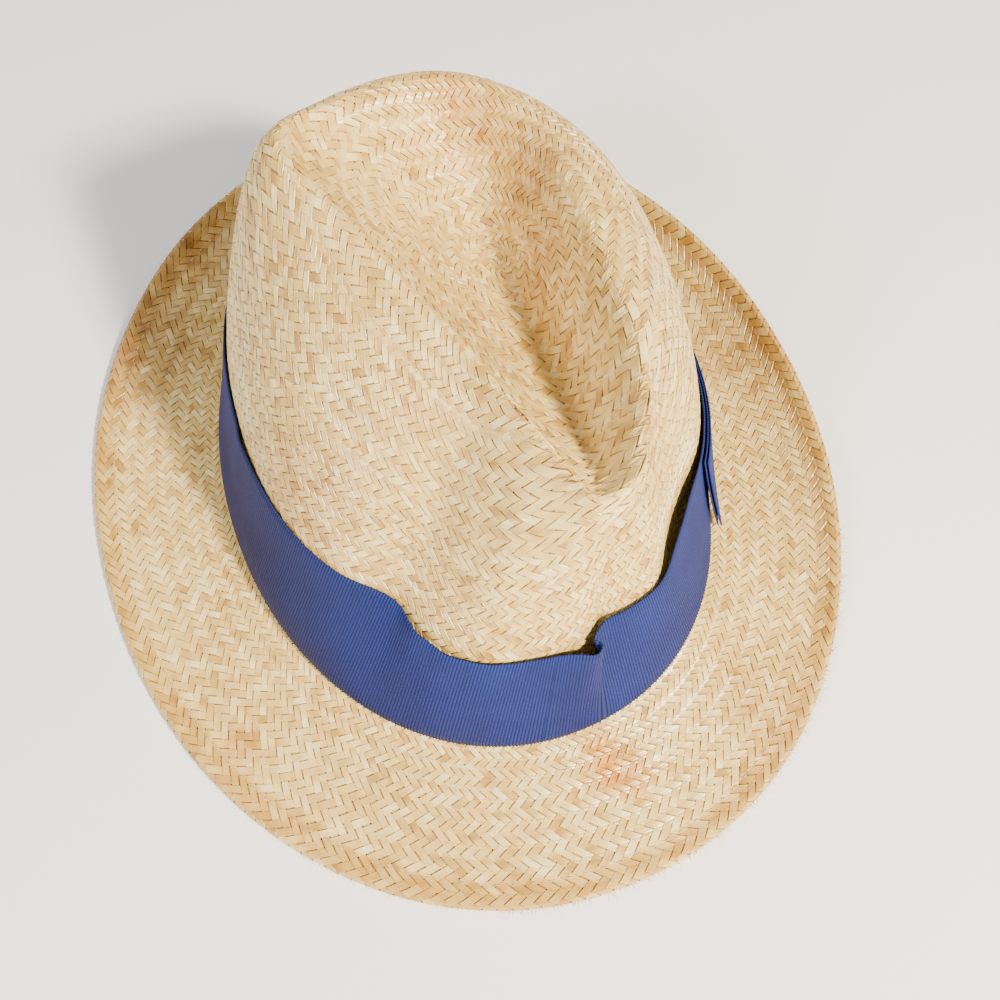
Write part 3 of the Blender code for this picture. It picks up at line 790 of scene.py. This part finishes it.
def grosgrainMaterial():
    # rayon grosgrain: navy warp over thick weft, soft sheen, and painted shade in the grooves
    # between the ribs
    finish, add = newMaterial("navyGrosgrain", {
        "Roughness": 0.62, "Specular IOR Level": 0.2, "Sheen Weight": 0.05,
        "Sheen Roughness": 0.4, "Sheen Tint": linear(ribbon["sheen"])})
    cloth = add("attribute", attribute_name="cloth").outputs["Vector"]
    place = add("coordinates").outputs["Object"]
    spot = add("separate", cloth)
    # ribs 1 mm apart with painted shade between them, and threads 0.25 mm apart across them
    swing = add("multiply", spot.outputs["X"], math.tau / (ribbon["ribPitch"] * mm))
    top = add("range", add("cosine", swing), -1.0, 0.6)
    colour = add("mix", {0: top, 6: linear(ribbon["groove"]), 7: linear(ribbon["navy"])})
    threads = add("mapping", {"Vector": cloth, "Scale": (900.0, 4200.0, 1.0)})
    thread = add("noise", {"Vector": threads, "Scale": 1.0, "Detail": 2.0})
    faded = add("noise", {"Vector": place, "Scale": 55.0, "Detail": 4.0})
    light = add("range", thread, 0.3, 0.7, 0.74, 1.3)
    both = add("multiply", light, add("range", faded, 0.3, 0.7, 0.86, 1.16))
    colour = add("tint", {0: 1.0, 6: colour.outputs[2], 7: both})
    # painted shade: the ribbon is darker and warmer on the wearer's right-hand side of the hat
    shadedSide = add("range", add("separate", place).outputs["X"], -0.045, -0.085, 0.0, 0.6)
    colour = add("mix", {0: shadedSide, 6: colour.outputs[2], 7: linear(ribbon["shadeCast"])})
    return closeMaterial(finish, colour, thread, 0.5, 0.15)


def ribbonSheet(name, tree, finish, rows, height, thickness, levels):
    # rows run down the ribbon, columns along it; its length in mm comes back with it
    middle = rows[len(rows) // 2]
    run = np.append(0, np.cumsum(np.linalg.norm(np.diff(middle, axis=0), axis=1)))
    u = np.broadcast_to(run / run[-1], rows.shape[:2])
    v = np.broadcast_to(np.linspace(0, 1, len(rows))[:, None], rows.shape[:2])
    ribs = round(run[-1] / ribbon["ribPitch"])
    piece = grow(name, surfaceMesh(name, rows, u, v), tree, {
        "Length": ribs * ribbon["ribPitch"] * mm, "Height": height * mm,
        "Columns": ribs * ribbon["columnsPerRib"] + 1, "Rows": levels,
        "Rib Pitch": ribbon["ribPitch"] * mm, "Rib Height": ribbon["ribHeight"] * mm,
        "Picot": ribbon["picot"] * mm, "Material": finish})
    return thickened(piece, thickness, finish), run[-1]


def hatbandSheet(tree, finish):
    at = np.unique(np.concatenate((np.arange(-9, 15, 0.2), np.arange(15, 351.01, 0.75))))
    fold = np.array(ribbon["fold"], float)
    inFold = at < 15
    goes = np.where(inFold, np.interp(at, fold[:, 0], fold[:, 1]), at)
    stand = np.where(inFold, np.interp(at, fold[:, 0], fold[:, 2]), 0.0)
    stand = stand + between(ribbon["standOff"], at)
    for values in (goes, stand):  # rounds the folds off
        values[2:-2] = sum(values[2 + k:len(values) - 2 + k] for k in (-2, -1, 0, 1, 2)) / 5
    fromSlack = (at + 30) % 360 - 2
    rows = []
    for share in np.linspace(1, 0, 17):
        held = np.clip((share - 0.12) / 0.88, 0, 1) ** 1.35
        place = at + (goes - at) * held
        # slack wrinkles along the lower half, left of the front
        slack = np.exp(-fromSlack ** 2 / 220.0) * np.exp(-((share - 0.35) / 0.22) ** 2)
        wrinkle = ribbon["wrinkle"] * slack * np.sin(share * 42 + at * 0.12)
        z = shape["bandBottom"] + shape["bandHeight"] * share
        rows.append(bandSurface(place, z, stand * held + wrinkle + 0.15))
    rows = [np.vstack((row, row[:1])) for row in rows]
    piece, length = ribbonSheet("hatband_ribbon", tree, finish, np.array(rows),
                                shape["bandHeight"], ribbon["thickness"], 14)
    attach(piece, "hat")
    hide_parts("hatband")
    print("hatband", round(length), "mm long")


def bandDegrees(length):  # the turn that a length in mm takes up round the band
    return math.degrees(length / ((shape["headHalfWidth"] + shape["headHalfLength"]) / 2))


def leafOffset():
    return (shape["ribbon"] + ribbon["leafGap"] + ribbon["leafThick"]) / 2


def bowLeaf(name, side, body, tree, finish):
    # a flat loop of ribbon: two plies that part a little towards the slanted end
    root = ribbon["bowAngle"] + side * bandDegrees(ribbon["knotHalf"] + ribbon["leafGap"])
    low = shape["bandBottom"] + ribbon["leafInset"]
    high = shape["bandBottom"] + shape["bandHeight"] - ribbon["leafInset"]
    run = np.linspace(0, 1, 45)
    plies, lengths = [], []
    for ply in (-1, 1):
        rows = []
        for part in np.linspace(1, 0, 13):
            spread = ribbon["leafSpread"] + ribbon["leafSlant"] * (1 - part)
            lift = ribbon["leafLift"] * run ** 3 * (1 - 0.7 * part)
            bow = 0.25 * np.sin(np.pi * run) * np.sin(np.pi * part)
            apart = ply * (0.33 + 0.25 * run ** 4) + (bow if ply > 0 else 0)
            rows.append(bandSurface(root + side * spread * run, low + (high - low) * part,
                                    leafOffset() + lift + apart))
        if side < 0:
            rows = [row[::-1] for row in rows]
        sheet, length = ribbonSheet(f"{name}_{ply}", tree, finish, np.array(rows), high - low,
                                    ribbon["bowThickness"], 13)
        plies.append(sheet)
        lengths.append(length)
    piece = joined(name, plies)
    piece.data.materials.append(finish)
    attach(piece, body)
    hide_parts(name.replace("_ribbon", ""))
    print(name, round(sum(lengths)), "mm of ribbon")


def bowKnot(tree, finish):
    # a narrow turn of the same ribbon round the middle of the bow, so its ribs lie level
    half, inset = bandDegrees(ribbon["knotHalf"]), ribbon["knotInset"]
    across = np.linspace(-1, 1, 11)
    base = shape["ribbon"] / 2 + ribbon["leafGap"] / 2
    bottom, height = shape["bandBottom"] + inset, shape["bandHeight"] - 2 * inset
    columns = []
    for angle in np.linspace(0, math.tau, 73):
        part = 0.5 - 0.5 * np.sign(np.cos(angle)) * abs(np.cos(angle)) ** 0.75
        front = max(0.0, math.sin(angle)) ** 0.4 if angle < math.pi else 0.0
        swell = 0.9 * (1 - across ** 4) * (1 - abs(2 * part - 1) ** 4)
        offset = base + inset + (ribbon["knotThick"] - 2 * inset + swell) * front
        columns.append(bandSurface(ribbon["bowAngle"] + across * half, bottom + height * part,
                                   offset))
    rows = np.array(columns).transpose(1, 0, 2)
    piece, length = ribbonSheet("bow_knot_ribbon", tree, finish, rows, 2 * ribbon["knotHalf"],
                                ribbon["bowThickness"], 9)
    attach(piece, "hat")
    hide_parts("bow_knot")
    print("knot", round(length), "mm of ribbon")


# what is inside the head opening, in mm and degrees
inside = {"offset": 1.7, "leather": 0.9, "top": 36.0, "looseness": 0.35, "reedRadius": 0.75,
          "turnsOfThread": 620, "stitchPitch": 3.2, "stitchLength": 2.3, "thread": 0.45,
          "seamUp": 1.6, "lapTurn": 178.5, "lapPitch": 2.4, "lapStitch": 3.2,
          "lapThread": 0.5, "lapSlant": 0.75, "chestnut": "#5c3820", "worn": "#8a5a36"}


def leatherMaterial():
    # sheepskin sweatband: chestnut, waxed, fine pebble grain and darker where it is rubbed
    finish, add = newMaterial("chestnutSweatLeather", {"Roughness": 0.55, "IOR": 1.5})
    place = add("coordinates").outputs["Object"]
    # pebbles 0.8 mm across
    pebble = add("ShaderNodeTexVoronoi", {"Vector": place, "Scale": 1250.0},
        feature="DISTANCE_TO_EDGE")
    crease = add("range", pebble, 0.0, 0.25)
    cloud = add("noise", {"Vector": place, "Scale": 45.0, "Detail": 5.0})
    blend = add("range", cloud, 0.3, 0.7)
    colour = add("mix", {0: blend, 6: linear(inside["chestnut"]), 7: linear(inside["worn"])})
    dark = add("range", {0: crease, 3: 0.62, 4: 1.0})
    colour = add("tint", {0: 1.0, 6: colour.outputs[2], 7: dark})
    return closeMaterial(finish, colour, crease, 0.5, 0.2)


def threadMaterial(name, dark, light, roughness):
    # spun cotton, matt, with its twist showing as fine slanting lines
    finish, add = newMaterial(name, {"Roughness": roughness})
    place = add("coordinates").outputs["Object"]
    twist = add("noise", {"Vector": place, "Scale": 1400.0, "Detail": 2.0})
    amount = add("range", twist, 0.3, 0.7)
    colour = add("mix", {0: amount, 6: linear(dark), 7: linear(light)})
    return closeMaterial(finish, colour, twist, 0.4, 0.1)


def pathMesh(name, points, out=None, closed=True):  # a line of edges in mm
    mesh = bpy.data.meshes.new(name)
    edges = [(i, i + 1) for i in range(len(points) - 1)]
    if closed:
        edges.append((len(points) - 1, 0))
    mesh.from_pydata((np.asarray(points) * mm).tolist(), edges, [])
    if out is not None:
        layer = mesh.attributes.new("out", "FLOAT_VECTOR", "POINT")
        layer.data.foreach_set("vector", np.asarray(out, np.float32).ravel())
    return mesh


def stitchTree():  # thread ends laid along a line, sunk in at both ends
    tree, add, given = newTree("runningStitch", ("Seed",), (
        "Pitch", "Length", "Thickness", "Slant"))
    curve = add("GeometryNodeMeshToCurve", given["Geometry"])
    spaced = add("GeometryNodeResampleCurve", {"Curve": curve, "Length": given["Pitch"]},
        mode="LENGTH")
    grain = add("GeometryNodeMeshUVSphere", {"Segments": 6, "Rings": 5, "Radius": 0.5})
    size = add("combine", given["Length"], given["Thickness"], given["Thickness"])
    along = add("align", {"Vector": add("GeometryNodeInputTangent")}, axis="X")
    lean = add("align", {"Rotation": along, "Vector": add("read", {"Name": "out"},
        data_type="FLOAT_VECTOR")}, axis="Z", pivot_axis="X")
    askew = add("random", {2: -0.12, 3: 0.12, "Seed": given["Seed"]}, data_type="FLOAT")
    angle = add("add", askew.outputs[1], given["Slant"])
    spin = add("FunctionNodeAxisAngleToRotation", {"Axis": (0.0, 0.0, 1.0), "Angle": angle})
    turned = add("FunctionNodeRotateRotation", lean, spin, rotation_space="LOCAL")
    laid = add("instances", {"Points": spaced, "Instance": grain, "Rotation": turned,
        "Scale": size})
    return closeTree(tree, given, add("smooth", add("realize", laid)))


def frayTree():  # loose fibre ends that stand out from an edge
    tree, add, given = newTree("frayedEnds", ("Count", "Seed"), (
        "Longest", "Thickness", "Spread"))
    curve = add("GeometryNodeMeshToCurve", given["Geometry"])
    spaced = add("GeometryNodeResampleCurve", {"Curve": curve, "Count": given["Count"]},
        mode="COUNT")
    fibre = add("GeometryNodeMeshCone", {"Vertices": 3, "Side Segments": 3,
        "Radius Top": 0.25, "Radius Bottom": 1.0, "Depth": 1.0})
    aim = add("read", {"Name": "out"}, data_type="FLOAT_VECTOR")
    luck = add("random", {0: (-1.0, -1.0, -0.2), 1: (1.0, 1.0, 0.7), "Seed": given["Seed"]},
        data_type="FLOAT_VECTOR")
    stray = add("ShaderNodeVectorMath", {0: luck, "Scale": given["Spread"]}, operation="SCALE")
    way = add("ShaderNodeVectorMath", aim, stray, operation="ADD")
    upright = add("align", {"Vector": way}, axis="Z")
    chance = add("random", {2: 0.0, 3: 1.0, "Seed": add("add", given["Seed"], 7.0)},
        data_type="FLOAT")
    share = add("multiply_add", add("power", chance.outputs[1], 2.6), 0.8, 0.2)
    long = add("multiply", share, given["Longest"])
    size = add("combine", given["Thickness"], given["Thickness"], long)
    laid = add("instances", {"Points": spaced, "Instance": fibre, "Rotation": upright,
        "Scale": size})
    return closeTree(tree, given, laid)


def sweatbandPieces(stitches):
    leather = leatherMaterial()
    at = np.arange(0, 360, 1.0)
    rows = []
    for share in np.linspace(1, 0, 11):
        z = shape["bandBottom"] + (inside["top"] - shape["bandBottom"]) * share
        # the free top edge waves in and out a little
        loose = inside["looseness"] * share ** 2 * (1 + np.sin(np.radians(at) * 7))
        rows.append(besideWall(at, z, -inside["offset"] - loose))
    rows = np.array(rows)
    rows = np.concatenate((rows, rows[:, :1]), axis=1)
    flat = np.zeros(rows.shape[:2])
    soup = bmesh.new()
    soup.from_mesh(surfaceMesh("sweatbandSheet", rows, flat, flat))
    bmesh.ops.remove_doubles(soup, verts=soup.verts, dist=0.01 * mm)
    band = fromSoup("sweatband_leather", soup)
    thickened(band, inside["leather"], leather)
    edge = band.modifiers.new("edge", "BEVEL")
    edge.width, edge.segments, edge.limit_method = 0.25 * mm, 2, "ANGLE"
    finished(band)
    smoothed(band.data)
    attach(band, "hat")
    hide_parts("sweatband")
    height = inside["top"] - shape["bandBottom"]
    # reed along the sewn edge, wound with thread
    cotton = threadMaterial("waxedCottonThread", "#a88a5c", "#d8c093", 0.7)
    level = shape["bandBottom"] - inside["reedRadius"] - shape["hemGap"]
    fine = np.arange(inside["turnsOfThread"] * 3) * 360.0 / (inside["turnsOfThread"] * 3)
    ring = besideWall(fine, level, -inside["offset"] - inside["reedRadius"] / 2)
    out = np.column_stack((outward(fine), np.zeros(len(fine))))
    rings = []
    for turn in np.linspace(0, math.tau, 9)[:-1]:
        # each turn of the thread stands up between two grooves
        groove = np.where(np.arange(len(fine)) % 3 == 0, 0.86, 1.0)[:, None]
        push = out * math.cos(turn) + np.array((0, 0, 1.0)) * math.sin(turn)
        rings.append(ring + push * groove * inside["reedRadius"])
    reed = bpy.data.meshes.new("sweatband_reed_wound")
    tube = np.array(rings)
    sides, count = tube.shape[:2]
    faces = [(s * count + i, s * count + (i + 1) % count,
              (s + 1) % sides * count + (i + 1) % count, (s + 1) % sides * count + i)
             for s in range(sides) for i in range(count)]
    reed.from_pydata((tube.reshape(-1, 3) * mm).tolist(), [], faces)
    reed.materials.append(cotton)
    smoothed(reed)
    reedPiece = addObject("sweatband_reed_wound", reed)
    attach(reedPiece, "hat")
    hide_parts("sweatband_reed")
    # seams: along the lower edge, and down the lap at the back
    face = -inside["offset"] - inside["leather"] / 2
    line = besideWall(at, shape["bandBottom"] + inside["seamUp"], face - 0.05)
    facing = -np.column_stack((outward(at), np.zeros(len(at))))
    lower = grow("sweatband_seam", pathMesh("lowerSeam", line, facing), stitches, {
        "Pitch": inside["stitchPitch"] * mm, "Length": inside["stitchLength"] * mm,
        "Thickness": inside["thread"] * mm, "Slant": 0.0, "Seed": 11, "Material": cotton})
    levels = np.linspace(shape["bandBottom"] + 3, inside["top"] - 1.2, 24)
    loose = inside["looseness"] * ((levels - shape["bandBottom"]) / height) ** 2
    lap = besideWall(np.full(len(levels), inside["lapTurn"]), levels, face - loose - 0.2)
    inward = np.tile(facing[int(inside["lapTurn"])], (len(levels), 1))
    upright = grow("sweatband_lap_seam", pathMesh("lapSeam", lap, inward, False), stitches, {
        "Pitch": inside["lapPitch"] * mm, "Length": inside["lapStitch"] * mm,
        "Thickness": inside["lapThread"] * mm, "Slant": inside["lapSlant"], "Seed": 12,
        "Material": cotton})
    for piece in (lower, upright):
        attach(piece, "hat")


# the stitches and loose fibres at the brim's edge, in mm
edge = {"stitchIn": 6.6, "stitchPitch": 5.5, "stitchLength": 2.4, "stitchThick": 0.42,
        "topLift": 0.36, "underLift": -1.75, "lowest": 0.3,
        "fibres": 1500, "longest": 2.0, "fibreThick": 0.07,
        "frontFibres": 420, "frontLongest": 3.4, "frontThick": 0.09,
        "frontFrom": 340, "frontTo": 62}


def brimEdgePieces(stitches):
    width = shape["brimHalfWidth"] - shape["headHalfWidth"] - shape["breakRadius"]
    at = np.arange(0, 360, 0.75)
    point, _, up = brimFrame(at, 1 - edge["stitchIn"] / width)
    cotton = threadMaterial("strawCottonThread", "#b08f58", "#dcc390", 0.75)
    sew = {"Pitch": edge["stitchPitch"] * mm, "Length": edge["stitchLength"] * mm,
           "Thickness": edge["stitchThick"] * mm, "Slant": 0.0, "Seed": 4, "Material": cotton}
    seams = []
    for name, lift in (("hem_stitches_top", "topLift"), ("hem_stitches_under", "underLift")):
        line = point + up * edge[lift]
        line[:, 2] = np.maximum(line[:, 2], edge["lowest"])
        seams.append(grow(name, pathMesh(name + "Line", line, up), stitches, sew))
    fray = frayTree()
    loose = threadMaterial("looseStrawFibre", "#7d5a30", "#c9a566", 0.6)
    centre, out, up = edgeFold(at)
    rim = centre + out * (shape["foldRadius"] + 0.15)
    ends = grow("edge_fibres", pathMesh("edgeLine", rim, out), fray, {
        "Count": edge["fibres"], "Longest": edge["longest"] * mm,
        "Thickness": edge["fibreThick"] * mm, "Spread": 1.0, "Seed": 3, "Material": loose})
    worn = (at < edge["frontTo"]) | (at > edge["frontFrom"])
    turned = np.roll(np.arange(len(at)), -int(np.argmax(~worn)))
    front = turned[worn[turned]]
    line = pathMesh("frontEdgeLine", rim[front], out[front], False)
    frontEnds = grow("front_edge_fibres", line, fray, {
        "Count": edge["frontFibres"], "Longest": edge["frontLongest"] * mm,
        "Thickness": edge["frontThick"] * mm, "Spread": 0.8, "Seed": 9, "Material": loose})
    for piece in (*seams, ends, frontEnds):
        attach(piece, "hat")
    print("edge sewn, fibres", len(ends.data.polygons) + len(frontEnds.data.polygons))


def wireMaterial():
    # millinery wire: spring steel wound with straw-coloured cotton, a dull tan line
    return threadMaterial("cottonCoveredWire", "#8f7348", "#c4a878", 0.8)


# the view from above the wearer's front right, in metres and degrees
view = {"azimuth": -28.30, "elevation": 63.77, "roll": 6.39, "distance": 0.3125,
        "target": (-0.0001, -0.03162, 0.0340), "lens": 34.77}

# place and size in metres, power in watts, colour
lights = {"key": ((0.40, -0.80, 0.85), 0.16, 46.0, "#fff3e0"),
          "fill": ((-0.9, -0.4, 0.8), 0.4, 12.0, "#f4f4ff")}
sky = {"colour": "#fbf7ef", "strength": 0.62}


def setCamera():
    azimuth, elevation, roll = (math.radians(view[k]) for k in ("azimuth", "elevation", "roll"))
    back = Vector((math.sin(azimuth) * math.cos(elevation),
                   -math.cos(azimuth) * math.cos(elevation), math.sin(elevation)))
    right = Vector((math.cos(azimuth), math.sin(azimuth), 0))
    up = back.cross(right)
    tiltedRight = right * math.cos(roll) + up * math.sin(roll)
    tiltedUp = up * math.cos(roll) - right * math.sin(roll)
    camera = bpy.data.objects.new("camera", bpy.data.cameras.new("camera"))
    bpy.context.scene.collection.objects.link(camera)
    camera.data.lens, camera.data.sensor_width = view["lens"], 36.0
    camera.data.clip_start, camera.data.clip_end = 0.01, 20
    turn = Matrix((tiltedRight, tiltedUp, back)).transposed()
    place = Vector(view["target"]) + back * view["distance"]
    camera.matrix_world = Matrix.Translation(place) @ turn.to_4x4()
    bpy.context.scene.camera = camera


def areaLight(name, place, size, power, colour):
    data = bpy.data.lights.new(name, "AREA")
    data.shape, data.size, data.energy = "SQUARE", size, power
    data.color = linear(colour)[:3]
    lamp = bpy.data.objects.new(name, data)
    bpy.context.scene.collection.objects.link(lamp)
    lamp.location = place
    aim = Vector((0, 0, 0.05)) - Vector(place)
    lamp.rotation_euler = aim.to_track_quat("-Z", "Y").to_euler()


def studio():
    world = bpy.data.worlds.new("studio")
    bpy.context.scene.world = world
    world.use_nodes = True
    background = world.node_tree.nodes["Background"]
    background.inputs[0].default_value = linear(sky["colour"])
    background.inputs[1].default_value = sky["strength"]
    for name, settings in lights.items():
        areaLight(name, *settings)
    mesh = bpy.data.meshes.new("floor")
    mesh.from_pydata([(-3, -3, 0), (3, -3, 0), (3, 3, 0), (-3, 3, 0)], [], [(0, 1, 2, 3)])
    floor = addObject("floor", mesh)
    # matt white paper
    paper, _ = newMaterial("whitePaperSweep", {
        "Roughness": 0.95, "Base Color": linear("#f6f5f2")})
    mesh.materials.append(paper)
    print("studio lit")


setCamera()
studio()
strawFinish = strawMaterial()
woven = strawHat(strawFinish)
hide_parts("straw_body")
grosgrain = grosgrainMaterial()
ribbed = ribbonTree()
hatbandSheet(ribbed, grosgrain)
bowLeaf("bow_front_leaf_ribbon", -1, "bow_front", ribbed, grosgrain)
bowLeaf("bow_rear_leaf_ribbon", 1, "bow_rear", ribbed, grosgrain)
bowKnot(ribbed, grosgrain)
running = stitchTree()
sweatbandPieces(running)
brimEdgePieces(running)
covered = wireMaterial()
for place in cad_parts["brim_wire"].material_slots:
    place.material = covered
